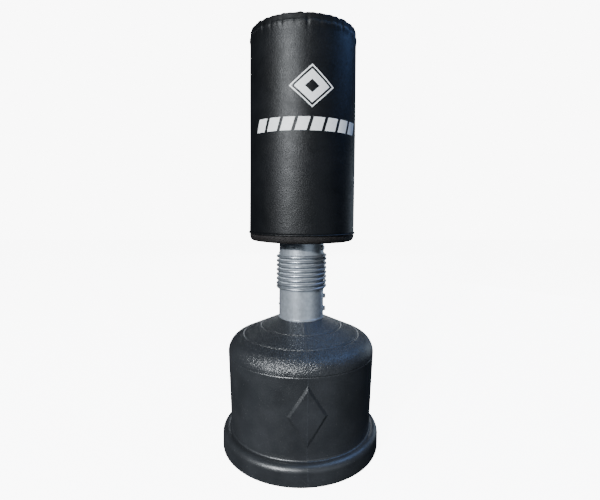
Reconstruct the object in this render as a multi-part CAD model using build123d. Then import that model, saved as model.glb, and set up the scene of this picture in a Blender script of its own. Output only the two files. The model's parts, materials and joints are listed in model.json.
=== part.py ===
"""Free-standing punch bag on a spring neck, with a fillable moulded base.

Units are millimetres and +Z is up. The origin is on the floor, on the axis of the base.
The front, with the raised diamond, faces -Y. The filler cap is at the back, +Y.
"""
from build123d import *
import os
from math import atan2, cos, hypot, pi, radians, sin, sqrt, tan

# ---- base tank: a hollow, blow-moulded shell ----
WALL = 4.0
FLANGE_R = 305.0
FLANGE_TOP = 72.0
FLANGE_EDGE_R = 21.0
FOOT_EDGE_R = 7.0
FOOT_INNER_R = 205.0
FOOT_RECESS = 6.0
WALL_FOOT_R = 272.0
WALL_FOOT_FILLET = 6.0
WALL_TOP_R = 284.5
WALL_TOP_Z = 369.0
SHOULDER_R = 60.0
SEAT_R = 90.0
SEAT_Z = 495.4
RING_RADII = (156.0, 224.0)
RING_W = 9.0
RING_DEPTH = 2.2
GROOVE_Z = 365.5
GROOVE_W = 6.0
GROOVE_DEPTH = 1.3
SHOULDER_FOOT = GROOVE_Z + GROOVE_W / 2
SPIGOT_TOP = 602.0
SPIGOT_CHAMFER = 6.0
WATER_GAP = 0.5
WATER_LEVEL = 395.0

# ---- raised diamond on the front of the tank ----
DIAMOND_LOW = 119.0
DIAMOND_HIGH = 339.0
DIAMOND_MID = 228.0
DIAMOND_HALF = 70.0
DIAMOND_RAISE_LOW = 2.5
DIAMOND_RAISE_HIGH = 7.5
DIAMOND_FACE = 0.86
DIAMOND_STEPS = 4

# ---- filler at the back of the shoulder, square to its cone; heights are above the cone ----
FILL_Y = 180.0
BOSS_R = 38.0
BOSS_TOP = 1.5
BOSS_LOW = -7.0
NECK_BORE_R = 22.0
NECK_OUTER_R = 27.0
NECK_LOW = -9.0
NECK_TOP = 16.0
GASKET_T = 2.5
CAP_R = 34.0
CAP_BORE_R = 27.6
CAP_TOP_T = 5.0
CAP_SKIRT = 13.0
CAP_RIBS = 24
CAP_RIB_R = 1.6

# ---- steel neck and spring ----
TUBE_R = 87.5
TUBE_WALL = 2.5
LOWER_TUBE_TOP = 624.0
UPPER_TUBE_FOOT = 732.0
UPPER_TUBE_TOP = 905.0
BEAD_R = 1.5
BEAD_UP = 5.0
SLIP_GAP = 0.1
SPRING_GAP = 0.3
SPRING_LOW = 612.0
SPRING_HIGH = 746.0
SPRING_TURNS = 7.0
SPRING_START = 280.0
WIRE_R = 5.5
STOP_H = 4.0
STOP_T = 2.5
SLEEVE_WALL = 6.0

# ---- fasteners; azimuth 0 is the front and 90 is the right-hand side ----
NECK_BOLT_AT = ((90.0, 526.0), (90.0, 576.0))
SIDE_SCREW_AT = ((-105.0, 562.0), (-97.0, 544.0))
UPPER_BOLT_AT = ((58.0, 773.0), (238.0, 773.0))
BOLT_R = 5.0
BOLT_HOLE_R = 5.3
BOLT_AF = 17.0
BOLT_HEAD = 6.4
BOLT_LENGTH = 22.0
NUT_T = 8.0
WASHER_R = 10.0
WASHER_T = 1.6
SCREW_R = 2.1
SCREW_HEAD_R = 4.2
SCREW_HEAD = 2.4
SCREW_LENGTH = 14.0

# ---- punch bag ----
BAG_R = 203.5
BAG_LOW = 800.0
BAG_HIGH = 1600.0
COVER_T = 2.0
BOTTOM_COVER_T = 1.5
HEM_TOP = 830.0
HEM_IN = 1.0
HEM_TURN = 5.0
PIPING_R = 3.0
PIPING_IN = 0.3
CROWN_R = 154.5
CROWN_DROP = 6.0
CORNER_DROP = 11.3
CORE_WALL = 5.0
CORE_LOW = 745.0
CORE_HIGH = 1524.0
CORE_CAP_T = 6.0
BOARD_T = 12.0
BOARD_R = 196.0
BOARD_FLANGE_T = 3.0
BOARD_FLANGE_R = 135.0
BOARD_SCREWS = 6
FOAM_PAD_T = 40.0

SPIGOT_R = TUBE_R - TUBE_WALL - SLIP_GAP
CORE_R = TUBE_R - TUBE_WALL - SLIP_GAP
SLEEVE_R = TUBE_R - TUBE_WALL - 2 * SLIP_GAP
SPRING_MEAN_R = TUBE_R + SPRING_GAP + WIRE_R
CORNER_Z = BAG_HIGH - CROWN_DROP - CORNER_DROP
BOARD_FLANGE_Z = BAG_LOW + BOTTOM_COVER_T
BOARD_Z = BOARD_FLANGE_Z + BOARD_FLANGE_T
FOAM_Z = BOARD_Z + BOARD_T
TOP_BOARD_Z = CORE_HIGH + CORE_CAP_T
FOAM_R = BAG_R - COVER_T


# ---- helpers ----
def turned(lines):
    """Turn a closed half section, drawn as (radius, height), about the Z axis."""
    return revolve(Plane.XZ * make_face(lines), Axis.Z)


def closed(points):
    """Straight lines round a list of points, back to the first."""
    return [Line(a, b) for a, b in zip(points, points[1:] + points[:1])]


def ring(inner, outer, low, high):
    """A plain ring, or a disc when inner is 0."""
    return turned(closed([(inner, low), (outer, low), (outer, high), (inner, high)]))


def rounded(centre, radius, start, end):
    """An arc about a centre between two angles in degrees."""
    return CenterArc(centre, radius, start, end - start)


def facing_out(azimuth, z, radius):
    """A plane at a place on the neck, whose normal points away from the axis."""
    a = radians(azimuth)
    outward = (sin(a), -cos(a), 0)
    origin = (radius * outward[0], radius * outward[1], z)
    return Plane(origin=origin, x_dir=(0, 0, 1), z_dir=outward)


def drilled(shape, places, radius):
    """Cut radial holes at several places."""
    for azimuth, z in places:
        shape -= facing_out(azimuth, z, TUBE_R - 20) * Cylinder(radius, 60)
    return shape


def save(name, shape):
    """Write one sub-part."""
    shape.label = name
    export_step(shape, f"parts/{name}.step")


# ---- base tank ----
def wall_radius(z):
    """Radius of the drafted wall at a height."""
    return WALL_FOOT_R + (WALL_TOP_R - WALL_FOOT_R) * (z - FLANGE_TOP) / (WALL_TOP_Z - FLANGE_TOP)


def cone_slope():
    """Slope of the shoulder's cone, from its seat to where it is tangent to the rounding."""
    run = WALL_TOP_R - SHOULDER_R - SEAT_R
    rise = SEAT_Z - WALL_TOP_Z
    reach = hypot(run, rise)
    return atan2(rise, run) - atan2(SHOULDER_R, sqrt(reach**2 - SHOULDER_R**2))


def cone_z(radius, inset=0.0):
    """Height of the cone at a radius, for a section moved inwards by inset."""
    slope = cone_slope()
    tangent_r = WALL_TOP_R - SHOULDER_R + (SHOULDER_R - inset) * sin(slope)
    tangent_z = WALL_TOP_Z + (SHOULDER_R - inset) * cos(slope)
    return tangent_z + (tangent_r - radius) * tan(slope)


def tank_section(inset=0.0):
    """Half section of the tank without its spigot, moved inwards by inset."""
    side = FLANGE_R - inset
    top = FLANGE_TOP - inset
    edge = FLANGE_EDGE_R - inset
    foot = max(FOOT_EDGE_R - inset, 2.0)
    floor = FOOT_RECESS + inset
    fillet_z = FLANGE_TOP + WALL_FOOT_FILLET
    foot_centre = (wall_radius(fillet_z) + WALL_FOOT_FILLET, fillet_z)
    slope = cone_slope()
    bend_r = WALL_TOP_R - SHOULDER_R
    bend = SHOULDER_R - inset
    tangent = (bend_r + bend * sin(slope), WALL_TOP_Z + bend * cos(slope))
    seat_r = SEAT_R if inset == 0 else SPIGOT_R
    seat = (seat_r, cone_z(seat_r, inset))
    return [
        Line((0, floor), (FOOT_INNER_R - 12, floor)),
        Line((FOOT_INNER_R - 12, floor), (FOOT_INNER_R, inset)),
        Line((FOOT_INNER_R, inset), (side - foot, inset)),
        rounded((side - foot, inset + foot), foot, -90, 0),
        Line((side, inset + foot), (side, top - edge)),
        rounded((side - edge, top - edge), edge, 0, 90),
        Line((side - edge, top), (foot_centre[0], top)),
        rounded(foot_centre, WALL_FOOT_FILLET + inset, 270, 180),
        Line((wall_radius(foot_centre[1]) - inset, foot_centre[1]), (bend_r + bend, WALL_TOP_Z)),
        rounded((bend_r, WALL_TOP_Z), bend, 0, 90 - slope * 180 / pi),
        Line(tangent, seat),
        Line(seat, (0, seat[1])),
        Line((0, seat[1]), (0, floor)),
    ]


def spigot(inset=0.0):
    """The moulded neck that the lower tube slips over."""
    r = SPIGOT_R - inset
    top = SPIGOT_TOP - inset
    low = SEAT_Z - 60
    outline = [(0, low), (r, low), (r, top - SPIGOT_CHAMFER), (r - SPIGOT_CHAMFER, top), (0, top)]
    return turned(closed(outline))


def ring_groove(radius, z, tilt, width, depth):
    """A V-shaped groove all round, square to a surface whose outward normal is tilted up by tilt."""
    out = (cos(tilt), sin(tilt))
    along = (-sin(tilt), cos(tilt))
    half = width / 2
    points = [
        (radius + out[0] + along[0] * half, z + out[1] + along[1] * half),
        (radius + along[0] * half, z + along[1] * half),
        (radius - out[0] * depth, z - out[1] * depth),
        (radius - along[0] * half, z - along[1] * half),
        (radius + out[0] - along[0] * half, z + out[1] - along[1] * half),
    ]
    return turned(closed(points))


def diamond_raise(z):
    """How far the diamond's face stands out from the wall; it leans out towards the top."""
    share = (z - DIAMOND_LOW) / (DIAMOND_HIGH - DIAMOND_LOW)
    return DIAMOND_RAISE_LOW + (DIAMOND_RAISE_HIGH - DIAMOND_RAISE_LOW) * share


def diamond():
    """A bevelled four-sided relief on the front wall, whose edges look straight from the front."""
    outline = []
    corners = [(0, DIAMOND_HIGH), (DIAMOND_HALF, DIAMOND_MID), (0, DIAMOND_LOW), (-DIAMOND_HALF, DIAMOND_MID)]
    for (x1, z1), (x2, z2) in zip(corners, corners[1:] + corners[:1]):
        for step in range(DIAMOND_STEPS):
            t = step / DIAMOND_STEPS
            outline.append((x1 + (x2 - x1) * t, z1 + (z2 - z1) * t))

    def on_wall(x, z, proud):
        return Vector(x, -sqrt((wall_radius(z) + proud) ** 2 - x**2), z)

    inner, outer = [], []
    for x, z in outline:
        face_x = x * DIAMOND_FACE
        face_z = DIAMOND_MID + (z - DIAMOND_MID) * DIAMOND_FACE
        foot = on_wall(x, z, 0)
        edge = on_wall(face_x, face_z, diamond_raise(face_z))
        inner.append(foot + (foot - edge) * 0.8)
        outer.append(edge + (edge - foot) * 0.8)
    back = Vector(0, -wall_radius(DIAMOND_MID) + 40, DIAMOND_MID)
    front = Vector(0, -wall_radius(DIAMOND_MID) - 40, DIAMOND_MID)
    faces = []
    for a, b, c, d in zip(inner, inner[1:] + inner[:1], outer[1:] + outer[:1], outer):
        for triangle in ([a, b, c], [a, c, d], [back, a, b], [front, d, c]):
            faces.append(Face(Wire.make_polygon(triangle)))
    prism = Solid(Shell(faces))
    low = DIAMOND_LOW - 20
    high = DIAMOND_HIGH + 20
    skin = turned(
        closed(
            [
                (wall_radius(low) - WALL / 2, low),
                (wall_radius(low) + diamond_raise(low), low),
                (wall_radius(high) + diamond_raise(high), high),
                (wall_radius(high) - WALL / 2, high),
            ]
        )
    )
    return prism & skin


def filler_frame():
    """The plane on the cone at the filler, whose normal is the filler's axis."""
    slope = cone_slope()
    return Plane(
        origin=(0, FILL_Y, cone_z(FILL_Y)), x_dir=(1, 0, 0), z_dir=(0, sin(slope), cos(slope))
    )


def tank_moulding():
    """The whole hollow moulding, without the raised diamond on its front."""
    tank = turned(tank_section()) - turned(tank_section(WALL))
    tank += spigot() - spigot(WALL) - ring(0, SEAT_R + 60, 0, cone_z(SPIGOT_R, WALL))
    for radius in RING_RADII:
        tank -= ring_groove(radius, cone_z(radius), pi / 2 - cone_slope(), RING_W, RING_DEPTH)
    tank -= ring_groove(wall_radius(GROOVE_Z), GROOVE_Z, 0, GROOVE_W, GROOVE_DEPTH)
    tank += filler_frame() * ring(0, BOSS_R, BOSS_LOW, BOSS_TOP)
    tank -= filler_frame() * ring(0, NECK_OUTER_R, 2 * BOSS_LOW, NECK_TOP)
    tank = drilled(tank, NECK_BOLT_AT, BOLT_HOLE_R)
    return drilled(tank, SIDE_SCREW_AT, SCREW_R)


def base_tank(tank):
    """The moulding below the shoulder, and the spigot above it, as four solids.

    They are the flange, the wall, the spigot and the raised diamond, each a plain outline.
    """
    wall_foot = FLANGE_TOP + WALL_FOOT_FILLET
    flange = tank & ring(0, FLANGE_R + 1, 0, wall_foot)
    walls = tank & ring(0, FLANGE_R + 1, wall_foot, SHOULDER_FOOT)
    neck = tank & ring(0, FLANGE_R + 1, cone_z(SEAT_R), SPIGOT_TOP)
    relief = diamond() - turned(tank_section())
    return Compound(children=[flange, walls, neck, relief])


def tank_shoulder(tank):
    """The moulding from the groove round the wall up to the seat of the neck, with the filler."""
    return tank & ring(0, FLANGE_R + 1, SHOULDER_FOOT, cone_z(SEAT_R))


def fill_neck():
    """The threaded neck welded into the filler's boss."""
    return filler_frame() * ring(NECK_BORE_R, NECK_OUTER_R, NECK_LOW, NECK_TOP)


def ballast_water():
    """The water that fills the tank to just under the shoulder."""
    return turned(tank_section(WALL + WATER_GAP)) & ring(0, FLANGE_R, 0, WATER_LEVEL)


def cap_gasket():
    """The flat seal between the filler neck and its cap."""
    return filler_frame() * ring(NECK_BORE_R + 0.5, NECK_OUTER_R, NECK_TOP, NECK_TOP + GASKET_T)


def fill_cap():
    """The screw cap, with a ribbed skirt that goes round the filler neck."""
    roof = NECK_TOP + GASKET_T
    cap = ring(0, CAP_R, roof - CAP_SKIRT, roof + CAP_TOP_T)
    cap = fillet(cap.edges().sort_by(Axis.Z)[-1], 1.5)
    cap -= ring(0, CAP_BORE_R, roof - CAP_SKIRT - 1, roof)
    for i in range(CAP_RIBS):
        place = Rot(0, 0, 360 / CAP_RIBS * i) * Pos(CAP_R, 0, roof - CAP_SKIRT)
        cap += place * extrude(Circle(CAP_RIB_R), CAP_SKIRT + CAP_TOP_T - 3)
    grip = Pos(0, 0, roof + CAP_TOP_T) * extrude(SlotOverall(CAP_R * 1.5, 10), 7)
    return filler_frame() * (cap + fillet(grip.edges().group_by(Axis.Z)[-1], 2))


# ---- neck and spring ----
def lower_tube():
    """The tube over the spigot, with a rolled bead just above its foot."""
    tube = ring(TUBE_R - TUBE_WALL, TUBE_R, SEAT_Z, LOWER_TUBE_TOP)
    bead = Pos(0, 0, SEAT_Z + BEAD_UP) * Torus(TUBE_R, BEAD_R)
    tube += bead - ring(0, TUBE_R - 1, SEAT_Z, SEAT_Z + 2 * BEAD_UP)
    tube = drilled(tube, NECK_BOLT_AT, BOLT_HOLE_R)
    return drilled(tube, SIDE_SCREW_AT, SCREW_R)


def upper_tube():
    """The tube that carries the bag's core."""
    tube = ring(TUBE_R - TUBE_WALL, TUBE_R, UPPER_TUBE_FOOT, UPPER_TUBE_TOP)
    return drilled(tube, UPPER_BOLT_AT, BOLT_HOLE_R)


def spring_coil():
    """The open coil that joins the two tubes, wound over their ends, with half a turn flat at each end."""
    low = SPRING_LOW + WIRE_R
    height = SPRING_HIGH - WIRE_R - low
    path = Pos(0, 0, low) * Helix(pitch=height / SPRING_TURNS, height=height, radius=SPRING_MEAN_R)
    coil = sweep(Plane(origin=path @ 0, z_dir=path % 0) * Circle(WIRE_R), path=path, is_frenet=True)
    section = Plane.XZ * Pos(SPRING_MEAN_R, 0) * Circle(WIRE_R)
    end_turn = revolve(section, Axis.Z, revolution_arc=179.7)
    first = Pos(0, 0, low) * Rot(0, 0, 180) * end_turn
    last = Pos(0, 0, low + height) * Rot(0, 0, 0.3) * end_turn
    return Rot(0, 0, SPRING_START) * Compound(children=[first, coil, last])


def neck_sleeve():
    """The flexible sleeve inside the spring, whose ends plug into the two tubes."""
    return ring(SLEEVE_R - SLEEVE_WALL, SLEEVE_R, SPIGOT_TOP + 0.5, CORE_LOW - 0.5)


def stop_ring(low):
    """A ring welded round a tube, that the end of the spring bears on."""
    return ring(TUBE_R, TUBE_R + STOP_T, low, low + STOP_H)


# ---- fasteners ----
def bolts(places):
    """Hexagon-head bolts put in from outside."""
    shapes = []
    for azimuth, z in places:
        head = extrude(RegularPolygon(BOLT_AF / 2, 6, major_radius=False), BOLT_HEAD)
        head = head & Pos(0, 0, BOLT_HEAD / 2) * Cylinder(BOLT_AF * 0.555, BOLT_HEAD)
        shank = Pos(0, 0, -BOLT_LENGTH) * extrude(Circle(BOLT_R), BOLT_LENGTH)
        shapes.append(facing_out(azimuth, z, TUBE_R + WASHER_T) * (head + shank))
    return Compound(children=shapes)


def washers(places):
    """Plain washers under the bolt heads."""
    flat = extrude(Circle(WASHER_R) - Circle(BOLT_HOLE_R), WASHER_T)
    return Compound(children=[facing_out(azimuth, z, TUBE_R) * flat for azimuth, z in places])


def nuts(places, wall_inner_r):
    """Hexagon nuts inside the neck."""
    nut = extrude(RegularPolygon(BOLT_AF / 2, 6, major_radius=False) - Circle(BOLT_R), NUT_T)
    radius = sqrt(wall_inner_r**2 - (BOLT_AF * 0.58) ** 2) - NUT_T
    return Compound(children=[facing_out(azimuth, z, radius) * nut for azimuth, z in places])


def side_screws():
    """Small pan-head screws into the spigot."""
    shapes = []
    for azimuth, z in SIDE_SCREW_AT:
        head = extrude(Circle(SCREW_HEAD_R), SCREW_HEAD)
        head = fillet(head.edges().sort_by(Axis.Z)[-1], 1.2)
        shank = Pos(0, 0, -SCREW_LENGTH) * extrude(Circle(SCREW_R), SCREW_LENGTH)
        shapes.append(facing_out(azimuth, z, TUBE_R) * (head + shank))
    return Compound(children=shapes)


# ---- punch bag ----
def board_screw_places():
    """Centres of the screws through the board flange."""
    return PolarLocations((BOARD_FLANGE_R + TUBE_R) / 2, BOARD_SCREWS)


def board_flange():
    """The steel ring round the upper tube that carries the bottom board."""
    flange = ring(TUBE_R, BOARD_FLANGE_R, BOARD_FLANGE_Z, BOARD_Z)
    for place in board_screw_places():
        flange -= Pos(0, 0, BOARD_FLANGE_Z) * place * Pos(0, 0, 1.5) * Cone(4, 2.5, 3)
    return flange


def board_screws():
    """Countersunk wood screws, flush with the underside of the flange."""
    shapes = []
    for place in board_screw_places():
        screw = Pos(0, 0, 1.5) * Cone(4, 2.5, 3) + Pos(0, 0, 3) * extrude(Circle(2.0), 8)
        shapes.append(Pos(0, 0, BOARD_FLANGE_Z) * place * screw)
    return Compound(children=shapes)


def bottom_board():
    """The plywood ring under the foam, with pilot holes."""
    board = ring(TUBE_R + 0.5, BOARD_R, BOARD_Z, FOAM_Z)
    for place in board_screw_places():
        board -= Pos(0, 0, BOARD_Z) * place * extrude(Circle(2.0), 8)
    return board


def core_tube():
    """The plastic pipe up the middle of the bag."""
    pipe = ring(CORE_R - CORE_WALL, CORE_R, CORE_LOW, CORE_HIGH)
    return drilled(pipe, UPPER_BOLT_AT, BOLT_HOLE_R)


def core_cap():
    """The plug that closes the pipe and carries the top board."""
    lid = ring(0, CORE_R, CORE_HIGH, TOP_BOARD_Z)
    return lid + ring(0, CORE_R - CORE_WALL - SLIP_GAP, CORE_HIGH - 20, CORE_HIGH)


def top_arcs(inset):
    """The crown and rounded corner of the bag's top, moved inwards by inset."""
    high = BAG_HIGH - inset
    knee = (CROWN_R, high - CROWN_DROP)
    rim = (BAG_R - inset, CORNER_Z - inset)
    crown = ThreePointArc((0, high), (CROWN_R / 2, high - CROWN_DROP / 4), knee)
    corner = EllipticalCenterArc((knee[0], rim[1]), rim[0] - knee[0], CORNER_DROP, 0, arc_size=90)
    return crown, corner


def domed(inset, low):
    """A solid from a flat bottom up to the bag's crowned top."""
    crown, corner = top_arcs(inset)
    rim = (BAG_R - inset, CORNER_Z - inset)
    outline = [crown, corner, Line(rim, (rim[0], low)), Line((rim[0], low), (0, low))]
    return turned(outline + [Line((0, low), (0, BAG_HIGH - inset))])


def foam_top_pad():
    """The foam over the top board."""
    return domed(COVER_T, TOP_BOARD_Z + BOARD_T)


def foam_sleeve():
    """The foam wrapped round the core, from the bottom board to the top board."""
    sleeve = ring(TUBE_R + 0.5, FOAM_R, FOAM_Z, TOP_BOARD_Z + BOARD_T)
    return sleeve - ring(0, FOAM_R - 30, TOP_BOARD_Z, TOP_BOARD_Z + BOARD_T + 1)


def cover_top():
    """The top panel of the cover."""
    return domed(0, CORNER_Z - 10) - domed(COVER_T, CORNER_Z - 20)


def hem_band():
    """The band below the piping, with its lower edge turned in."""
    outer = BAG_R - HEM_IN
    inner = outer - COVER_T + HEM_IN
    bend_z = BAG_LOW + 2 * HEM_TURN
    points = [(inner - HEM_TURN, BAG_LOW), (outer - HEM_TURN, BAG_LOW), (outer, bend_z)]
    points += [(outer, HEM_TOP), (inner, HEM_TOP), (inner, bend_z)]
    return turned(closed(points))


def piping():
    """The round cord sewn over the seam between the side and the hem, cut flat where it lies on."""
    reach = sqrt(PIPING_R**2 - PIPING_IN**2)
    low = (BAG_R, HEM_TOP - reach)
    high = (BAG_R, HEM_TOP + reach)
    return turned([ThreePointArc(low, (BAG_R - PIPING_IN + PIPING_R, HEM_TOP), high), Line(high, low)])


def main():
    """Build every sub-part and write its STEP."""
    os.makedirs("parts", exist_ok=True)
    tank = tank_moulding()
    save("base_tank", base_tank(tank))
    save("tank_shoulder", tank_shoulder(tank))
    save("ballast_water", ballast_water())
    save("fill_neck", fill_neck())
    save("cap_gasket", cap_gasket())
    save("fill_cap", fill_cap())

    save("lower_tube", lower_tube())
    save("neck_sleeve", neck_sleeve())
    save("lower_stop_ring", stop_ring(SPRING_LOW - STOP_H - SPRING_GAP))
    save("neck_bolts", bolts(NECK_BOLT_AT))
    save("neck_washers", washers(NECK_BOLT_AT))
    save("neck_nuts", nuts(NECK_BOLT_AT, SPIGOT_R - WALL))
    save("side_screws", side_screws())

    save("spring_coil", spring_coil())

    save("upper_tube", upper_tube())
    save("upper_stop_ring", stop_ring(SPRING_HIGH + SPRING_GAP))
    save("upper_bolts", bolts(UPPER_BOLT_AT))
    save("upper_washers", washers(UPPER_BOLT_AT))
    save("upper_nuts", nuts(UPPER_BOLT_AT, CORE_R - CORE_WALL))

    save("core_tube", core_tube())
    save("core_cap", core_cap())
    save("board_flange", board_flange())
    save("board_screws", board_screws())
    save("bottom_board", bottom_board())
    save("top_board", ring(0, FOAM_R - 30, TOP_BOARD_Z, TOP_BOARD_Z + BOARD_T))
    save("foam_sleeve", foam_sleeve())
    save("foam_top_pad", foam_top_pad())

    save("cover_top", cover_top())
    save("cover_side", ring(FOAM_R, BAG_R, HEM_TOP, CORNER_Z - 10))
    save("hem_band", hem_band())
    save("piping", piping())
    save("cover_bottom", ring(TUBE_R + 0.5, FOAM_R - HEM_TURN, BAG_LOW, BOARD_FLANGE_Z))


main()
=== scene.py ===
import json
from math import cos, exp, pi, radians, sin
import random

import bpy
from mathutils import Matrix, Vector
from mathutils.bvhtree import BVHTree


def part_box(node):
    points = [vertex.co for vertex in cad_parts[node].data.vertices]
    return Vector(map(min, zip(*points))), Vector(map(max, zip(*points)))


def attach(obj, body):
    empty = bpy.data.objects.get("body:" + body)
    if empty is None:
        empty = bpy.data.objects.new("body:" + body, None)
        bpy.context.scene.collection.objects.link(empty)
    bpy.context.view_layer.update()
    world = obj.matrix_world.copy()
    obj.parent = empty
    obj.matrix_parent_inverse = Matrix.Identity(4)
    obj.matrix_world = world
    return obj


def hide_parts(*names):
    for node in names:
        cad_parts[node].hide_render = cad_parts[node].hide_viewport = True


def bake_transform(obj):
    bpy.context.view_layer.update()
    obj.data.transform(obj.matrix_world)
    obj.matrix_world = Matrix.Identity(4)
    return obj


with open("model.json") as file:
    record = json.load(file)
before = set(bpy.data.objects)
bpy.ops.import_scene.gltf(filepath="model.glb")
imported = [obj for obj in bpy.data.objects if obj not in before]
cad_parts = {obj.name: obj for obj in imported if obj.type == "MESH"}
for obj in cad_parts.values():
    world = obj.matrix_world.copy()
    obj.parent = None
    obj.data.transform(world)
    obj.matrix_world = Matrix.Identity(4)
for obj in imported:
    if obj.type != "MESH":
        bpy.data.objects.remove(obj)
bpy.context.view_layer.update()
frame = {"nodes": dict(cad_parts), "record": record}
nodes = frame["nodes"]

# ---- sizes read from the frame, in metres ----
BAG_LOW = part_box("hem_band")[0].z
BAG_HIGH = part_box("cover_top")[1].z
BAG_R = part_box("cover_side")[1].x
HEM_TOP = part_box("cover_side")[0].z
CORNER_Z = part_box("cover_side")[1].z + 0.010
FOAM_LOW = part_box("foam_sleeve")[0].z
BOARD_LOW, BOARD_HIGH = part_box("top_board")[0].z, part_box("top_board")[1].z
BOARD_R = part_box("top_board")[1].x
TUBE_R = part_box("upper_tube")[1].x
SPRING_LOW, SPRING_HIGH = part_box("spring_coil")[0].z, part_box("spring_coil")[1].z
LOWER_TUBE_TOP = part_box("lower_tube")[1].z
UPPER_TUBE_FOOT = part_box("upper_tube")[0].z
PIVOT_Z = (SPRING_LOW + SPRING_HIGH) / 2
WIRE_R = 0.0055
SPRING_MEAN_R = TUBE_R + 0.0003 + WIRE_R
SPRING_TURNS = 8
SPRING_START = radians(100)
SLEEVE_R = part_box("neck_sleeve")[1].x
SLEEVE_LOW, SLEEVE_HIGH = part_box("neck_sleeve")[0].z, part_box("neck_sleeve")[1].z
SEAM_Z = CORNER_Z - 0.021
FRONT, BACK = 0.0, pi


# ---- camera ----
def make_camera():
    """The camera stands about 5 degrees left of the front, just under a metre above the floor."""
    distance, height = 1.617, 0.942
    azimuth, pitch, roll = radians(-5.0), 0.0494, 0.0079
    forward = Vector((-sin(azimuth) * cos(pitch), cos(azimuth) * cos(pitch), -sin(pitch)))
    right = forward.cross(Vector((0, 0, 1))).normalized()
    up = right.cross(forward)
    rolled_right = right * cos(roll) + up * sin(roll)
    rolled_up = up * cos(roll) - right * sin(roll)
    data = bpy.data.cameras.new("camera")
    camera = bpy.data.objects.new("camera", data)
    bpy.context.scene.collection.objects.link(camera)
    turn = Matrix((rolled_right, rolled_up, -forward)).transposed().to_4x4()
    place = Vector((distance * sin(azimuth), -distance * cos(azimuth), height))
    camera.matrix_world = Matrix.Translation(place) @ turn
    data.sensor_width = 36.0
    data.lens = 24.68
    data.shift_x = -0.0031
    data.shift_y = -0.0437
    bpy.context.scene.camera = camera


# ---- light and floor ----
FLOOR_HALF = 9.0
WORLD_DIM, WORLD_WHITE, FLOOR_WHITE = 0.034, 9.0, 8.4


def area_light(name, azimuth, elevation, distance, size, power, colour):
    """A square light that faces the middle of the object from a direction round it."""
    target = Vector((0, 0, 0.85))
    a, e = radians(azimuth), radians(elevation)
    out = Vector((sin(a) * cos(e), -cos(a) * cos(e), sin(e)))
    data = bpy.data.lights.new(name, "AREA")
    data.shape = "SQUARE"
    data.size = size
    data.energy = power
    data.color = colour
    light = bpy.data.objects.new(name, data)
    light.location = target + out * distance
    light.rotation_mode = "QUATERNION"
    light.rotation_quaternion = (-out).to_track_quat("-Z", "Y")
    light.visible_camera = False
    bpy.context.scene.collection.objects.link(light)


def make_studio():
    """A pale floor, a surround that is white to the camera and dim to the object, and seven lights.

    The key is small and low on the left, so the bag's shadow falls sharp on the neck. A broad light
    beside it gives the soft sheen. The cool ones on the right are the sky.
    """
    world = bpy.data.worlds.new("studio")
    bpy.context.scene.world = world
    world.use_nodes = True
    tree = world.node_tree
    dim = tree.nodes["Background"]
    dim.inputs["Color"].default_value = (0.72, 0.86, 1.0, 1)
    dim.inputs["Strength"].default_value = WORLD_DIM
    white = tree.nodes.new("ShaderNodeBackground")
    white.inputs["Color"].default_value = (1, 1, 1, 1)
    white.inputs["Strength"].default_value = WORLD_WHITE
    rays = tree.nodes.new("ShaderNodeLightPath")
    choice = tree.nodes.new("ShaderNodeMixShader")
    tree.links.new(rays.outputs["Is Camera Ray"], choice.inputs["Fac"])
    tree.links.new(dim.outputs["Background"], choice.inputs[1])
    tree.links.new(white.outputs["Background"], choice.inputs[2])
    tree.links.new(choice.outputs["Shader"], tree.nodes["World Output"].inputs["Surface"])
    area_light("key", -34, 17, 8.0, 0.35, 980, (0.93, 0.97, 1.0))
    area_light("key_soft", -34, 27, 8.0, 5.0, 420, (0.93, 0.97, 1.0))
    area_light("bounce", 30, -9, 3.0, 2.4, 12, (0.80, 0.90, 1.0))
    area_light("sky_right", 98, 46, 3.4, 2.0, 44, (0.24, 0.44, 1.0))
    area_light("rim_right", 130, -3, 3.8, 2.0, 13, (0.70, 0.84, 1.0))
    area_light("above", 55, 68, 3.6, 2.0, 30, (0.40, 0.62, 1.0))
    area_light("back_fill", 174, 12, 6.0, 3.0, 60, (0.86, 0.93, 1.0))
    ground = bpy.data.meshes.new("floor")
    corners = [(-1, -1), (1, -1), (1, 1), (-1, 1)]
    ground.from_pydata([(x * FLOOR_HALF, y * FLOOR_HALF, 0) for x, y in corners], [], [(0, 1, 2, 3)])
    stage = bpy.data.objects.new("floor", ground)
    bpy.context.scene.collection.objects.link(stage)
    pale = Shader("floor_pale", (0.9, 0.9, 0.9), 0.9)
    pale.bsdf.inputs["Emission Color"].default_value = (1, 1, 1, 1)
    pale.bsdf.inputs["Emission Strength"].default_value = FLOOR_WHITE
    ground.materials.append(pale.material)
    stage.visible_diffuse = False
    stage.visible_glossy = False


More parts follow.
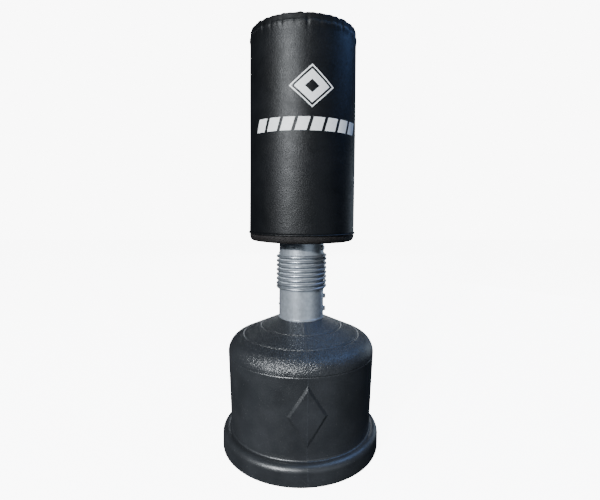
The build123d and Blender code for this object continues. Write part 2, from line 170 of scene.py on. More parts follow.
# ---- material helpers ----
class Shader:
    """A material's node tree, with short calls to add to it."""

    def __init__(self, name, colour, roughness, metallic=0.0):
        self.material = bpy.data.materials.new(name)
        self.material.use_nodes = True
        self.tree = self.material.node_tree
        self.bsdf = self.tree.nodes["Principled BSDF"]
        self.bsdf.inputs["Base Color"].default_value = (*colour, 1)
        self.bsdf.inputs["Roughness"].default_value = roughness
        self.bsdf.inputs["Metallic"].default_value = metallic
        self.place = self.tree.nodes.new("ShaderNodeTexCoord").outputs["Object"]

    def link(self, output, target):
        """Joins an output to an input."""
        self.tree.links.new(output, target)

    def scaled(self, x, y, z):
        """Object coordinates, stretched along each axis."""
        mapping = self.tree.nodes.new("ShaderNodeMapping")
        mapping.inputs["Scale"].default_value = (x, y, z)
        self.link(self.place, mapping.inputs["Vector"])
        return mapping.outputs["Vector"]

    def noise(self, scale, detail, place=None):
        """A cloudy value about 0.5, over the object's coordinates or over place."""
        made = self.tree.nodes.new("ShaderNodeTexNoise")
        made.inputs["Scale"].default_value = scale
        made.inputs["Detail"].default_value = detail
        made.inputs["Roughness"].default_value = 0.55
        self.link(place or self.place, made.inputs["Vector"])
        return made.outputs["Fac"]

    def cells(self, scale, feature="SMOOTH_F1"):
        """The distance to the middle of the nearest cell, which looks like pebbles."""
        made = self.tree.nodes.new("ShaderNodeTexVoronoi")
        made.feature = feature
        made.inputs["Scale"].default_value = scale
        self.link(self.place, made.inputs["Vector"])
        return made.outputs["Distance"]

    def ramp(self, value, low, high, start=0.0, end=1.0):
        """Maps a value between low and high to start and end, and holds it there outside."""
        made = self.tree.nodes.new("ShaderNodeMapRange")
        made.inputs["From Min"].default_value = low
        made.inputs["From Max"].default_value = high
        made.inputs["To Min"].default_value = start
        made.inputs["To Max"].default_value = end
        self.link(value, made.inputs["Value"])
        return made.outputs["Result"]

    def maths(self, operation, a, b):
        """One step of arithmetic on two numbers or outputs."""
        made = self.tree.nodes.new("ShaderNodeMath")
        made.operation = operation
        for value, socket in zip((a, b), made.inputs):
            if isinstance(value, (int, float)):
                socket.default_value = value
            else:
                self.link(value, socket)
        return made.outputs["Value"]

    def axis(self, name):
        """One of the object coordinates, X, Y or Z."""
        made = self.tree.nodes.new("ShaderNodeSeparateXYZ")
        self.link(self.place, made.inputs["Vector"])
        return made.outputs[name]

    def mix(self, amount, colour_a, colour_b):
        """A colour between two, where either may be a colour or an output."""
        made = self.tree.nodes.new("ShaderNodeMix")
        made.data_type = "RGBA"
        self.link(amount, made.inputs["Factor"])
        for value, name in ((colour_a, "A"), (colour_b, "B")):
            socket = [s for s in made.inputs if s.name == name and s.type == "RGBA"][0]
            if isinstance(value, tuple):
                socket.default_value = (*value, 1)
            else:
                self.link(value, socket)
        return [s for s in made.outputs if s.type == "RGBA"][0]

    def colour(self, output):
        """Makes an output the base colour."""
        self.link(output, self.bsdf.inputs["Base Color"])

    def rough(self, output):
        """Makes an output the roughness."""
        self.link(output, self.bsdf.inputs["Roughness"])

    def bump(self, height, strength, distance):
        """Adds a bump on top of those already there; distance is in metres."""
        made = self.tree.nodes.new("ShaderNodeBump")
        made.inputs["Strength"].default_value = strength
        made.inputs["Distance"].default_value = distance
        self.link(height, made.inputs["Height"])
        normal = self.bsdf.inputs["Normal"]
        if normal.is_linked:
            self.link(normal.links[0].from_socket, made.inputs["Normal"])
        self.link(made.outputs["Normal"], normal)


# ---- materials ----
def cover_vinyl():
    """Black synthetic leather: fine pebbled grain, and a soft broad sheen that varies a little."""
    s = Shader("cover_vinyl", (0.005, 0.0055, 0.007), 0.4)
    s.bsdf.inputs["Specular IOR Level"].default_value = 0.29
    clouds = s.noise(9, 4)
    s.colour(s.mix(s.ramp(clouds, 0.35, 0.7), (0.0022, 0.0026, 0.0034), (0.0042, 0.0047, 0.0060)))
    s.rough(s.ramp(s.noise(26, 5), 0.3, 0.7, 0.41, 0.50))
    s.bump(s.cells(420), 0.5, 0.0011)
    s.bump(s.noise(1500, 2), 0.2, 0.0003)
    s.bump(s.noise(14, 2), 0.3, 0.002)
    return s.material


def cap_panel():
    """The top panel's black cloth-backed vinyl, duller and darker than the side."""
    s = Shader("cap_panel_vinyl", (0.007, 0.008, 0.010), 0.58)
    s.bsdf.inputs["Specular IOR Level"].default_value = 0.16
    s.colour(s.mix(s.ramp(s.noise(24, 4), 0.35, 0.7), (0.0016, 0.0020, 0.0027), (0.0036, 0.0041, 0.0053)))
    s.rough(s.ramp(s.noise(60, 4), 0.3, 0.7, 0.50, 0.66))
    s.bump(s.cells(700), 0.3, 0.0005)
    return s.material


def hem_webbing():
    """Coarse black band, duller than the cover, with a ribbed weave round it."""
    s = Shader("hem_webbing", (0.013, 0.012, 0.013), 0.62)
    s.colour(s.mix(s.ramp(s.noise(300, 3), 0.35, 0.65), (0.0022, 0.0021, 0.0024), (0.020, 0.017, 0.017)))
    s.bsdf.inputs["Specular IOR Level"].default_value = 0.3
    s.bump(s.noise(1, 3, place=s.scaled(220, 220, 620)), 0.9, 0.0022)
    s.bump(s.noise(700, 2), 0.5, 0.0008)
    return s.material


def print_ink():
    """White screen print, slightly worn, over the grain of the cover."""
    s = Shader("print_ink", (0.82, 0.82, 0.81), 0.45)
    s.colour(s.mix(s.ramp(s.noise(420, 4), 0.30, 0.42), (0.55, 0.55, 0.56), (0.84, 0.84, 0.83)))
    s.rough(s.ramp(s.noise(40, 4), 0.3, 0.7, 0.38, 0.55))
    s.bump(s.cells(820), 0.2, 0.0004)
    return s.material


def thread():
    """Twisted black sewing thread."""
    s = Shader("thread_black", (0.03, 0.03, 0.032), 0.7)
    s.colour(s.mix(s.noise(700, 2), (0.015, 0.015, 0.017), (0.05, 0.05, 0.052)))
    s.bump(s.noise(1600, 2), 0.5, 0.0003)
    return s.material


def hammered_silver(name, colour, roughness, cell, strength, metallic):
    """Silver hammered paint: shallow dimples and a metal-flake sheen."""
    s = Shader(name, colour, roughness, metallic)
    light = tuple(min(1.0, c * 1.16) for c in colour)
    dark = tuple(c * 0.84 for c in colour)
    s.colour(s.mix(s.ramp(s.noise(60, 5), 0.3, 0.7), dark, light))
    s.rough(s.ramp(s.noise(130, 4), 0.3, 0.7, roughness - 0.04, roughness + 0.05))
    s.bump(s.cells(cell), strength, 0.0012)
    s.bump(s.noise(cell * 3.2, 3), 0.2, 0.0004)
    return s.material


def sleeve_rubber():
    """Rubber hose, painted over with the silver of the neck."""
    s = Shader("sleeve_grey", (0.30, 0.33, 0.36), 0.5)
    s.colour(s.mix(s.ramp(s.noise(90, 4), 0.35, 0.65), (0.26, 0.29, 0.32), (0.36, 0.39, 0.43)))
    s.rough(s.ramp(s.noise(60, 4), 0.3, 0.7, 0.42, 0.6))
    s.bump(s.noise(500, 3), 0.3, 0.0005)
    return s.material


def zinc():
    """Dull zinc plating on the fasteners."""
    s = Shader("zinc_plate", (0.52, 0.53, 0.54), 0.34, 0.9)
    s.colour(s.mix(s.noise(220, 4), (0.38, 0.39, 0.41), (0.66, 0.66, 0.65)))
    s.rough(s.ramp(s.noise(400, 3), 0.3, 0.7, 0.26, 0.46))
    s.bump(s.noise(900, 2), 0.15, 0.0003)
    return s.material


def tank_plastic():
    """Black moulded polyethylene: pebbled on the shoulder, smooth on the wall, with dust and scuffs."""
    s = Shader("tank_plastic", (0.013, 0.014, 0.017), 0.4)
    s.bsdf.inputs["Specular IOR Level"].default_value = 0.74
    z = s.axis("Z")
    shoulder = s.ramp(z, 0.34, 0.40)
    dust = s.ramp(s.noise(340, 2), 0.735, 0.76)
    haze = s.ramp(s.noise(7, 5), 0.4, 0.75)
    base = s.mix(haze, (0.016, 0.0175, 0.020), (0.028, 0.030, 0.034))
    s.colour(s.mix(s.maths("MULTIPLY", dust, 0.6), base, (0.30, 0.30, 0.30)))
    wall_rough = s.ramp(s.noise(18, 5), 0.3, 0.7, 0.32, 0.44)
    s.rough(s.maths("SUBTRACT", wall_rough, s.maths("MULTIPLY", shoulder, 0.05)))
    pebble = s.maths("MULTIPLY", s.cells(320), s.ramp(z, 0.35, 0.39, 0.22, 1.0))
    s.bump(pebble, 0.8, 0.0024)
    s.bump(s.noise(700, 3), 0.25, 0.0006)
    s.bump(s.noise(11, 2), 0.25, 0.004)
    scratches = s.noise(1, 2, place=s.scaled(18, 18, 900))
    s.bump(s.ramp(scratches, 0.68, 0.74), 0.12, 0.0004)
    return s.material


def mould_mark():
    """The smoother plastic along the mould's parting line, where the pebbles are rubbed flat."""
    s = Shader("mould_mark", (0.030, 0.033, 0.038), 0.36)
    s.colour(s.mix(s.noise(90, 4), (0.022, 0.024, 0.028), (0.046, 0.050, 0.057)))
    s.rough(s.ramp(s.noise(140, 4), 0.3, 0.7, 0.30, 0.48))
    s.bump(s.noise(420, 3), 0.3, 0.0006)
    return s.material


def cap_plastic():
    """Matt black injection-moulded plastic."""
    s = Shader("cap_plastic", (0.02, 0.02, 0.021), 0.55)
    s.colour(s.mix(s.noise(80, 4), (0.014, 0.014, 0.015), (0.030, 0.030, 0.031)))
    s.bump(s.cells(900), 0.3, 0.0004)
    return s.material


def soft_black_rubber():
    """The gasket's rubber."""
    s = Shader("seal_rubber", (0.02, 0.02, 0.02), 0.75)
    s.colour(s.mix(s.noise(200, 3), (0.014, 0.014, 0.014), (0.035, 0.035, 0.035)))
    s.bump(s.noise(800, 2), 0.3, 0.0003)
    return s.material


def rebonded_foam():
    """Chopped foam stuck together, in several greys."""
    s = Shader("rebonded_foam", (0.3, 0.3, 0.32), 0.95)
    s.colour(s.mix(s.ramp(s.cells(60, "F1"), 0.2, 0.7), (0.16, 0.17, 0.20), (0.5, 0.49, 0.46)))
    s.bump(s.noise(300, 4), 0.8, 0.003)
    return s.material


def plywood():
    """Birch plywood with a stretched grain."""
    s = Shader("plywood", (0.6, 0.45, 0.28), 0.7)
    grain = s.noise(1, 5, place=s.scaled(8, 120, 60))
    s.colour(s.mix(s.ramp(grain, 0.3, 0.7), (0.48, 0.34, 0.20), (0.70, 0.55, 0.37)))
    s.bump(grain, 0.3, 0.0006)
    return s.material


def pipe_plastic():
    """Grey extruded pipe."""
    s = Shader("pipe_grey", (0.33, 0.34, 0.35), 0.45)
    s.colour(s.mix(s.noise(30, 4), (0.27, 0.28, 0.29), (0.38, 0.39, 0.40)))
    s.bump(s.noise(1, 2, place=s.scaled(300, 300, 6)), 0.15, 0.0004)
    return s.material


def water():
    """Blue-green water inside the tank."""
    s = Shader("water", (0.1, 0.25, 0.3), 0.05)
    s.colour(s.mix(s.noise(6, 2), (0.08, 0.20, 0.25), (0.14, 0.30, 0.35)))
    s.bsdf.inputs["IOR"].default_value = 1.33
    return s.material


SILVER = hammered_silver("silver_paint", (0.45, 0.49, 0.54), 0.38, 420, 0.16, 0.68)
SPRING_SILVER = hammered_silver("spring_paint", (0.36, 0.39, 0.43), 0.33, 420, 0.12, 0.78)
SLEEVE = sleeve_rubber()
COVER = cover_vinyl()
CAP_PANEL = cap_panel()
FOAM = rebonded_foam()
TANK = tank_plastic()
MARK = mould_mark()
HEM = hem_webbing()
INK = print_ink()
THREAD = thread()
ZINC = zinc()
SLOT_MATERIALS = {
    "tank_black": TANK,
    "cap_black": cap_plastic(),
    "water": water(),
    "seal_rubber": soft_black_rubber(),
    "silver_paint": SILVER,
    "spring_paint": SPRING_SILVER,
    "sleeve_grey": SLEEVE,
    "zinc": ZINC,
    "pipe_grey": pipe_plastic(),
    "plywood": plywood(),
    "foam_grey": FOAM,
    "cover_black": COVER,
    "hem_black": HEM,
}


def dress_cad_nodes():
    """Give every CAD node the finish of its material slot."""
    slots = {s["node"]: s["material_slot"] for s in frame["record"]["subparts"]}
    for name, node in nodes.items():
        node.data.materials.clear()
        node.data.materials.append(SLOT_MATERIALS[slots[name]])


# ---- mesh helpers ----
def new_mesh(name, points, faces, material):
    """A smooth-shaded mesh object from points and faces."""
    mesh = bpy.data.meshes.new(name)
    mesh.from_pydata(points, [], faces)
    mesh.materials.append(material)
    mesh.polygons.foreach_set("use_smooth", [True] * len(mesh.polygons))
    mesh.update()
    made = bpy.data.objects.new(name, mesh)
    bpy.context.scene.collection.objects.link(made)
    return made


def grid_faces(rows, columns, wrap_columns=True, wrap_rows=False):
    """Quads over a grid of points stored row by row."""
    faces = []
    last_row = rows if wrap_rows else rows - 1
    last_column = columns if wrap_columns else columns - 1
    for i in range(last_row):
        for j in range(last_column):
            a = i * columns + j
            b = i * columns + (j + 1) % columns
            c = (i + 1) % rows * columns + (j + 1) % columns
            d = (i + 1) % rows * columns + j
            faces.append((a, b, c, d))
    return faces


def on_axis(radius, azimuth, z):
    """A point at a radius, where azimuth 0 is the front and pi/2 is the right-hand side."""
    return Vector((radius * sin(azimuth), -radius * cos(azimuth), z))


# ---- the shape of the filled bag ----
class Ripples:
    """A smooth function round the bag: a sum of waves with fixed random phases."""

    def __init__(self, counts, seed):
        rng = random.Random(seed)
        self.waves = [(n, rng.uniform(0, 2 * pi), rng.uniform(0.5, 1.0)) for n in counts]
        self.total = sum(w[2] for w in self.waves)

    def __call__(self, azimuth):
        return sum(k * sin(n * azimuth + phase) for n, phase, k in self.waves) / self.total


GATHERS = Ripples((22, 29, 37, 46, 58), 5)
GATHER_DEPTH = Ripples((3, 5, 8, 11), 6)
SAG = Ripples((2, 3, 5), 7)
CREASES = Ripples((9, 13, 16), 8)
SEAM_WANDER = Ripples((7, 12, 19, 31), 9)
HEM_WAVES = Ripples((5, 9, 14, 22), 10)


def smooth(value, low, high):
    """0 below low, 1 above high and a smooth rise between."""
    t = min(1.0, max(0.0, (value - low) / (high - low)))
    return t * t * (3 - 2 * t)


def gather(azimuth):
    """How hard the side is gathered there, from 0 between two puckers to 1 in a deep one."""
    return max(0.0, -GATHERS(azimuth)) * (0.6 + 0.4 * GATHER_DEPTH(azimuth)) * 2.2


def bag_offset(azimuth, z):
    """How far the side of the cover stands out from its plain cylinder, in metres."""
    bulge = 0.0009 * SAG(azimuth + 1.7 * z)
    near_seam = exp(-(((z - SEAM_Z) / 0.016) ** 2))
    pull = exp(-((SEAM_Z - z) / 0.045)) if z < SEAM_Z else 0.0
    pucker = gather(azimuth) * (-0.0017 * near_seam - 0.0005 * pull)
    roll = 0.0017 * exp(-(((z - SEAM_Z + 0.008) / 0.010) ** 2)) * (1 - 0.6 * gather(azimuth))
    tug = 0.0007 * CREASES(azimuth) * exp(-(z - HEM_TOP) / 0.05)
    step = -0.0010 * smooth(z, SEAM_Z, SEAM_Z + 0.0016)
    return bulge + pucker + roll + tug + step


def top_offset(azimuth, radius):
    """How far the top panel rises or falls from its plain crown, in metres."""
    near_edge = exp(-(((BAG_R - radius) / 0.030) ** 2))
    folds = 0.0030 * GATHERS(azimuth + 0.05) * near_edge
    dents = 0.0016 * SAG(3 * azimuth + 20 * radius) * smooth(BAG_R - radius, 0.0, 0.05)
    return (folds + dents) * smooth(radius, 0.01, 0.10) - 0.0004


def cover_point(azimuth, z, lift=0.0):
    """A point on the side of the cover, lift metres above it."""
    return on_axis(BAG_R - 0.0006 + bag_offset(azimuth, z) + lift, azimuth, z)


def seam_height(azimuth, z):
    """Moves a height near the top seam up or down, as the seam wanders round the bag."""
    reach = exp(-(((z - SEAM_Z) / 0.020) ** 2))
    return z + (0.0028 * SEAM_WANDER(azimuth) - 0.0030 * gather(azimuth) + 0.0012) * reach


def side_rows():
    """The heights of the cover's rows, closer together near the top seam."""
    low, mid = HEM_TOP - 0.001, SEAM_Z - 0.045
    rows = [low + (mid - low) * i / 70 for i in range(71)]
    rows += [mid + (SEAM_Z - 0.012 - mid) * i / 14 for i in range(1, 15)]
    rows += [SEAM_Z - 0.012 + 0.015 * i / 18 for i in range(1, 19)]
    rows += [SEAM_Z + 0.003 + (CORNER_Z - SEAM_Z - 0.003) * i / 6 for i in range(1, 7)]
    return rows


def make_cover():
    """The cover's side and top in one skin, gathered at the top seam."""
    around = 480
    points = []
    rows = side_rows()
    for z in rows:
        for j in range(around):
            azimuth = 2 * pi * j / around
            points.append(cover_point(azimuth, z))
            points[-1].z = seam_height(azimuth, z)
    below_seam = sum(z < SEAM_Z for z in rows) - 1
    edge_r = BAG_R - 0.0016
    crown_r = BAG_R - 0.049
    knee_z = BAG_HIGH - 0.0045
    for i in range(1, 23):
        a = pi / 2 * i / 22
        radius = crown_r + (edge_r - crown_r) * cos(a)
        z = CORNER_Z + (knee_z - CORNER_Z) * sin(a)
        for j in range(around):
            azimuth = 2 * pi * j / around
            offset = top_offset(azimuth, radius)
            inwards = bag_offset(azimuth, CORNER_Z) + 0.0010
            points.append(on_axis(radius + (inwards + offset) * cos(a), azimuth, z + offset * sin(a)))
    for i in range(1, 24):
        radius = crown_r * (1 - i / 24)
        z = knee_z + 0.005 * (1 - (radius / crown_r) ** 2)
        for j in range(around):
            azimuth = 2 * pi * j / around
            points.append(on_axis(radius, azimuth, z + top_offset(azimuth, radius)))
    count = len(points) // around
    faces = grid_faces(count, around)
    top = len(points)
    points.append(Vector((0, 0, knee_z + 0.0046)))
    last = (count - 1) * around
    faces += [(last + j, last + (j + 1) % around, top) for j in range(around)]
    made = new_mesh("bag_cover", points, faces, COVER)
    made.data.materials.append(CAP_PANEL)
    dull = [1 if i >= below_seam * around else 0 for i in range(len(faces))]
    made.data.polygons.foreach_set("material_index", dull)
    skin = made.modifiers.new("thickness", "SOLIDIFY")
    skin.thickness = 0.0016
    skin.offset = -1
    return made


def make_ring(name, section, around, material, shift):
    """A closed ring of a section given as (radius, height) points; shift(azimuth, n) moves point n."""
    points = []
    for n, (radius, z) in enumerate(section):
        for j in range(around):
            azimuth = 2 * pi * j / around
            out, up = shift(azimuth, n)
            points.append(on_axis(radius + out, azimuth, z + up))
    faces = grid_faces(len(section), around, wrap_rows=True)
    return new_mesh(name, points, faces, material)


def make_hem():
    """The stiff band under the piping, with a rolled and slightly wavy lower edge."""
    inner, outer = BAG_R - 0.0045, BAG_R - 0.0012
    section = [(inner, HEM_TOP - 0.0003), (outer, HEM_TOP - 0.0003), (outer + 0.0004, HEM_TOP - 0.006)]
    section += [(outer - 0.0002, BAG_LOW + 0.017), (outer - 0.0012, BAG_LOW + 0.0115)]
    section += [(outer - 0.0027, BAG_LOW + 0.0070), (outer - 0.0047, BAG_LOW + 0.0036)]
    section += [(outer - 0.0085, BAG_LOW + 0.0010), (outer - 0.0130, BAG_LOW + 0.0004)]
    section += [(outer - 0.0168, BAG_LOW + 0.0012), (outer - 0.0166, BAG_LOW + 0.0030)]
    section += [(outer - 0.0060, BAG_LOW + 0.0038), (inner - 0.0005, BAG_LOW + 0.015)]

    def shift(azimuth, n):
        free = 1.0 if 2 <= n <= 8 else 0.0
        low = 1.0 if 4 <= n <= 8 else 0.0
        return 0.0007 * HEM_WAVES(azimuth + 0.2 * n) * free, 0.0007 * HEM_WAVES(2 * azimuth) * low

    return make_ring("hem_rolled", section, 420, HEM, shift)


def make_piping():
    """The covered cord along the hem's upper edge, a little uneven where it was sewn."""
    radius, sides = 0.0034, 12
    turns = [2 * pi * n / sides for n in range(sides)]
    section = [(BAG_R - 0.0002 + radius * cos(t), HEM_TOP + radius * sin(t)) for t in turns]

    def shift(azimuth, n):
        grow = 0.0003 * CREASES(5 * azimuth)
        return grow * cos(turns[n]) + 0.0004 * HEM_WAVES(azimuth), grow * sin(turns[n])

    return make_ring("piping_cord", section, 540, COVER, shift)


def make_bottom():
    """The bottom panel, gathered by a drawn cord round the tube."""
    rows = [BAG_R - 0.0185 - (BAG_R - 0.0185 - TUBE_R - 0.0035) * i / 24 for i in range(25)]
    top_z = BAG_LOW + 0.0013
    section = [(r, top_z) for r in rows]
    bead = (rows[-1] + 0.0006, BAG_LOW - 0.0022)
    section += [(bead[0] - 0.0016, bead[1] + 0.0012), (bead[0] - 0.0019, bead[1])]
    section += [(bead[0] - 0.0008, bead[1] - 0.0018), (bead[0] + 0.0010, bead[1] - 0.0016)]
    section += [(r, BAG_LOW - 0.0002) for r in reversed(rows[:-2])]
    first_under = 29

    def shift(azimuth, n):
        if n < first_under:
            return 0.0, 0.0
        near = exp(-(section[n][0] - TUBE_R) / 0.035)
        gathers = -0.0022 * near * (0.5 + 0.5 * GATHERS(azimuth))
        return 0.0, gathers - 0.0006 * SAG(azimuth) * (1 - near) ** 2

    return make_ring("bag_bottom", section, 420, COVER, shift)


def make_foam():
    """The foam filling in one lathed body, from the bottom board up round and over the top board."""
    inner, shelf = TUBE_R + 0.0015, BOARD_R + 0.0015
    side, high = BAG_R - 0.0042, BAG_R - 0.0130
    section = [(inner, FOAM_LOW), (side, FOAM_LOW), (side, 1.0), (side, 1.3), (side, SEAM_Z - 0.07)]
    section += [(high, SEAM_Z - 0.025), (high, SEAM_Z), (high - 0.002, CORNER_Z - 0.008)]
    section += [(high - 0.010, CORNER_Z - 0.003), (BAG_R - 0.052, BAG_HIGH - 0.0130)]
    section += [(0.10, BAG_HIGH - 0.0115), (0.05, BAG_HIGH - 0.0105), (0.006, BAG_HIGH - 0.0100)]
    section += [(0.006, BOARD_HIGH + 0.0005), (shelf, BOARD_HIGH + 0.0005), (shelf, BOARD_LOW - 0.0005)]
    section += [(inner, BOARD_LOW - 0.0005)]
    return make_ring("foam_filling", section, 180, FOAM, lambda azimuth, n: (0.0, 0.0))


# ---- sewing and prints on the cover ----
STITCH, STITCH_PITCH, THREAD_R = 0.0042, 0.0062, 0.00045


def make_stitches(name, places):
    """Short lengths of thread; each place is (middle, direction along the seam, outward direction)."""
    points, faces = [], []
    for middle, along, out in places:
        across = along.cross(out).normalized()
        first = len(points)
        for t, grow, dip in ((-0.5, 0.35, -0.9), (-0.32, 1.0, 0.15), (0.32, 1.0, 0.15), (0.5, 0.35, -0.9)):
            for k in range(6):
                a = 2 * pi * k / 6
                ring = across * (cos(a) * grow) + out * (sin(a) * grow + dip)
                points.append(middle + along * (t * STITCH) + ring * THREAD_R)
        for r in range(3):
            for k in range(6):
                a, b = first + r * 6 + k, first + r * 6 + (k + 1) % 6
                faces.append((a, a + 6, b + 6, b))
        faces.append(tuple(first + k for k in range(6)))
        faces.append(tuple(first + 18 + k for k in reversed(range(6))))
    return new_mesh(name, points, faces, THREAD)


def round_row(surface):
    """Places for stitches round the bag; surface(azimuth) gives a point on the cloth."""
    count = int(2 * pi * BAG_R / STITCH_PITCH)
    places = []
    for j in range(count):
        azimuth = 2 * pi * (j + 0.5) / count
        along = (surface(azimuth + 0.006) - surface(azimuth - 0.006)).normalized()
        places.append((surface(azimuth), along, on_axis(1, azimuth, 0)))
    return places


def seam_row(drop):
    """Stitches that follow the top seam, drop metres below it."""
    def surface(azimuth):
        place = cover_point(azimuth, SEAM_Z - drop, 0.0002)
        place.z = seam_height(azimuth, SEAM_Z - drop)
        return place
    return round_row(surface)


def back_rows():
    """Two rows of stitches up the seam at the back."""
    places = []
    first = HEM_TOP + 0.01
    count = int((SEAM_Z - 0.02 - first) / STITCH_PITCH)
    for side in (-0.0052, 0.0052):
        azimuth = BACK + side / BAG_R
        for i in range(count):
            z = first + STITCH_PITCH * (i + 0.5)
            places.append((cover_point(azimuth, z, 0.0013), Vector((0, 0, 1)), on_axis(1, azimuth, 0)))
    return places


def make_back_seam():
    """The lapped seam up the back of the cover, a strip a millimetre proud of it."""
    profile = [(-0.0095, -0.0006), (-0.0088, 0.0008), (-0.0075, 0.0011), (-0.0052, 0.0007)]
    profile += [(-0.0025, 0.0011), (0.0025, 0.0011), (0.0052, 0.0007), (0.0075, 0.0011)]
    profile += [(0.0088, 0.0008), (0.0095, -0.0006)]
    points = []
    rows = 160
    for i in range(rows):
        z = HEM_TOP + 0.002 + (SEAM_Z - 0.003 - HEM_TOP - 0.002) * i / (rows - 1)
        for across, lift in profile:
            points.append(cover_point(BACK + across / BAG_R, z, lift + 0.0002 * SAG(40 * z)))
    return new_mesh("back_seam", points, grid_faces(rows, len(profile), False), COVER)


def printed(name, rows, columns, place, wrap):
    """A flat print on the cover; place(i, j) gives (distance along the cover, height) of a grid point."""
    points = []
    for i in range(rows):
        for j in range(columns):
            along, z = place(i, j)
            points.append(cover_point(along / BAG_R, z, 0.00035))
    return new_mesh(name, points, grid_faces(rows, columns, wrap), INK)


PRINT_MIDDLE = radians(4.0) * BAG_R
EMBLEM_Z = 1.342
BLOCKS = 8


def make_emblem(name, inner, outer):
    """A rhombus-shaped ring, between two half-diagonals."""
    def place(i, j):
        size = inner + (outer - inner) * i / 6
        quarter, part = divmod(j / 24, 1)
        corners = ((1, 0), (0, 1), (-1, 0), (0, -1), (1, 0))
        a, b = corners[int(quarter)], corners[int(quarter) + 1]
        across = (a[0] + (b[0] - a[0]) * part) * size
        up = (a[1] + (b[1] - a[1]) * part) * size
        return PRINT_MIDDLE + across * 1.1, EMBLEM_Z + up
    return printed(name, 7, 96, place, True)


def make_block(number):
    """One of a row of plain slanted blocks under the emblem."""
    length, low, high, gap, slant = 0.414, 1.192, 1.238, 0.012, 0.014
    pitch = (length + gap) / BLOCKS

    def place(i, j):
        up = i / 6
        start = PRINT_MIDDLE - 0.006 - length / 2 + number * pitch + slant * (up - 0.5)
        return start + (pitch - gap) * j / 16, low + (high - low) * up
    return printed("block_" + str(number), 7, 17, place, False)


# ---- spring ----
def coil_height(turn):
    """The height of the wire's middle after a count of turns; the first and last half turns lie flat."""
    rise = SPRING_HIGH - SPRING_LOW - 2 * WIRE_R
    share = min(1.0, max(0.0, (turn - 0.5) / (SPRING_TURNS - 1)))
    return SPRING_LOW + WIRE_R + rise * share


def make_coil_half(name, start, end):
    """Part of the coil spring, between two counts of turns from its lower tip."""
    sides, per_turn = 16, 60
    count = int((end - start) * per_turn)
    steps = [(start, 0.0), (start, 0.60), (start + 0.0026, 0.93)]
    steps += [(start + 0.004 + (end - start - 0.008) * i / count, 1.0) for i in range(count + 1)]
    steps += [(end - 0.0026, 0.93), (end, 0.60), (end, 0.0)]
    points = []
    for turn, grow in steps:
        angle = SPRING_START + 2 * pi * turn
        out = Vector((cos(angle), sin(angle), 0))
        middle = out * SPRING_MEAN_R + Vector((0, 0, coil_height(turn)))
        for k in range(sides):
            a = 2 * pi * k / sides
            points.append(middle + (out * cos(a) + Vector((0, 0, sin(a)))) * (WIRE_R * grow))
    return new_mesh(name, points, grid_faces(len(steps), sides), SPRING_SILVER)


def make_sleeve_half(name, low, high):
    """Part of the flexible sleeve inside the spring, which swells against the coils between the tubes."""
    rows, inner = 34, SLEEVE_R - 0.0058
    heights = [low + (high - low) * i / (rows - 1) for i in range(rows)]
    section = []
    for z in heights:
        swell = smooth(z, LOWER_TUBE_TOP + 0.0005, LOWER_TUBE_TOP + 0.007)
        swell -= smooth(z, UPPER_TUBE_FOOT - 0.007, UPPER_TUBE_FOOT - 0.0005)
        section.append((SLEEVE_R - 0.0001 + 0.0024 * swell, z))
    section += [(inner, z) for z in reversed(heights)]
    return make_ring(name, section, 96, SLEEVE, lambda azimuth, n: (0.0, 0.0))


# ---- mould line down the tank ----
ROUNDING_R, ROUNDING_Z, SLOPE = 0.2245, 0.369, 24.3
WALL_FOOT_Z, FLANGE_TOP_Z, FLOOR_GAP = 0.0775, 0.0675, 0.0055
FLANGE_IN, FLANGE_OUT = 0.2785, 0.2995
OUTSIDE_R, ABOVE_SHOULDER, ABOVE_FLANGE = 0.34, 0.60, 0.12


def cad_tree(*names):
    """A ray-casting tree over CAD nodes."""
    points, faces = [], []
    for name in names:
        mesh = nodes[name].data
        first = len(points)
        points += [v.co.copy() for v in mesh.vertices]
        faces += [tuple(first + i for i in face.vertices) for face in mesh.polygons]
    return BVHTree.FromPolygons(points, faces)


def outline_rays(azimuth, nearest, farthest):
    """Rays from outside the tank on to its outline, down the shoulder, the wall and the flange."""
    down, inwards = Vector((0, 0, -1)), on_axis(-1, azimuth, 0)
    rays = []
    cone_end = ROUNDING_R + 0.0245
    for i in range(90):
        radius = nearest + (min(farthest, cone_end) - nearest) * i / 89
        rays.append((on_axis(radius, azimuth, ABOVE_SHOULDER), down))
    if farthest < cone_end:
        return rays
    for i in range(1, 34):
        turn = radians(SLOPE + (90 - SLOPE) * i / 34)
        way = on_axis(sin(turn), azimuth, cos(turn))
        rays.append((on_axis(ROUNDING_R, azimuth, ROUNDING_Z) + way * 0.1, -way))
    for i in range(140):
        z = ROUNDING_Z - (ROUNDING_Z - WALL_FOOT_Z) * i / 139
        rays.append((on_axis(OUTSIDE_R, azimuth, z), inwards))
    for i in range(22):
        radius = FLANGE_IN + (FLANGE_OUT - FLANGE_IN) * i / 21
        rays.append((on_axis(radius, azimuth, ABOVE_FLANGE), down))
    for i in range(40):
        z = FLANGE_TOP_Z - (FLANGE_TOP_Z - FLOOR_GAP) * i / 39
        rays.append((on_axis(OUTSIDE_R, azimuth, z), inwards))
    return rays


def make_bead(name, tree, rays, side, profile):
    """A raised strip that lies on the tank along the rays' hits; profile is (distance across, height)."""
    points = []
    for i, (start, way) in enumerate(rays):
        for across, lift in profile:
            hit = tree.ray_cast(start + side * across, way)[0]
            buried = i in (0, len(rays) - 1)
            points.append(hit - way * (-0.0006 if buried else lift))
    return new_mesh(name, points, grid_faces(len(rays), len(profile), False), MARK)


make_camera()
dress_cad_nodes()
make_studio()


def add(made, body="bag", replaced=()):
    """Hides the CAD nodes a piece stands for and hangs the piece on the body it rides on."""
    if replaced:
        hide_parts(*replaced)
    if body:
        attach(made, body)
    return made


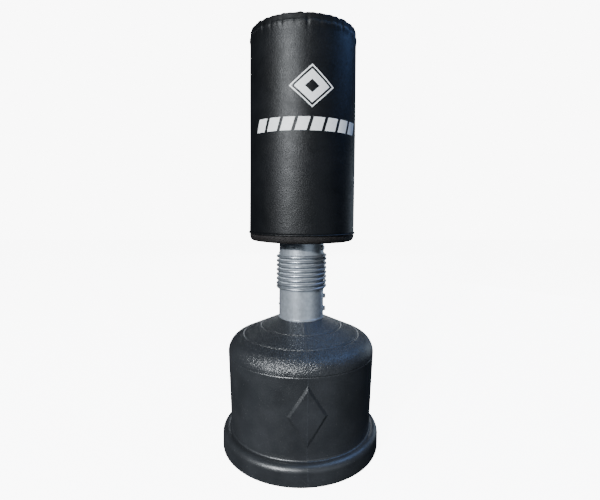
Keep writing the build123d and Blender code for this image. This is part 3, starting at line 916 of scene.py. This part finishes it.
add(make_cover(), replaced=("cover_side", "cover_top"))
add(make_foam(), replaced=("foam_sleeve", "foam_top_pad"))
hem = add(make_hem(), replaced=("hem_band",))
add(make_piping(), replaced=("piping",))
bottom = add(make_bottom(), replaced=("cover_bottom",))
add(make_back_seam())
add(make_stitches("stitches_back", back_rows()))
add(make_stitches("stitches_top", seam_row(0.006)))
hem_stitches = round_row(lambda azimuth: on_axis(BAG_R - 0.0006, azimuth, HEM_TOP - 0.0085))
add(make_stitches("stitches_hem", hem_stitches))
add(make_emblem("emblem_edge", 0.0665, 0.0730))
add(make_emblem("emblem_middle", 0.0230, 0.0570))
for number in range(BLOCKS):
    add(make_block(number))

lower_coil = make_coil_half("spring_lower", 0, SPRING_TURNS / 2)
upper_coil = make_coil_half("spring_upper", SPRING_TURNS / 2, SPRING_TURNS)
lower_sleeve = make_sleeve_half("sleeve_lower", SLEEVE_LOW, PIVOT_Z)
upper_sleeve = make_sleeve_half("sleeve_upper", PIVOT_Z, SLEEVE_HIGH)
for half in (lower_coil, upper_coil):
    add(half, None, ("spring_coil",))
for half in (lower_sleeve, upper_sleeve):
    add(half, None, ("neck_sleeve",))
for half in (lower_coil, lower_sleeve):
    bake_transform(half)
for half in (upper_coil, upper_sleeve):
    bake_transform(half)

tank_tree = cad_tree("base_tank", "tank_shoulder")
LINE = [(-0.0012, -0.0003), (-0.0007, 0.0004), (0.0, 0.0006), (0.0007, 0.0004), (0.0012, -0.0003)]
TWIN = [(-0.0046, -0.0003), (-0.0036, 0.0008), (-0.0020, 0.0007), (-0.0014, -0.0003)]
TWIN += [(0.0014, -0.0003), (0.0020, 0.0007), (0.0036, 0.0008), (0.0046, -0.0003)]
PAD = [(-0.0088, -0.0003), (-0.0080, 0.0007), (0.0, 0.0009), (0.0080, 0.0007), (0.0088, -0.0003)]
SEAT, TO_GROUND = 0.0915, 1.0
MARKS = [
    ("mould_line_front", FRONT, 0.229, TO_GROUND, LINE),
    ("mould_pad", FRONT, SEAT, 0.150, PAD),
    ("mould_ridges", FRONT, 0.162, 0.219, TWIN),
    ("mould_line_back", BACK, 0.229, TO_GROUND, LINE),
    ("mould_line_inner", BACK, SEAT, 0.139, LINE),
]
for name, azimuth, nearest, farthest, profile in MARKS:
    side = Vector((cos(azimuth), 0, 0))
    mark = make_bead(name, tank_tree, outline_rays(azimuth, nearest, farthest), side, profile)
    add(mark, "base")
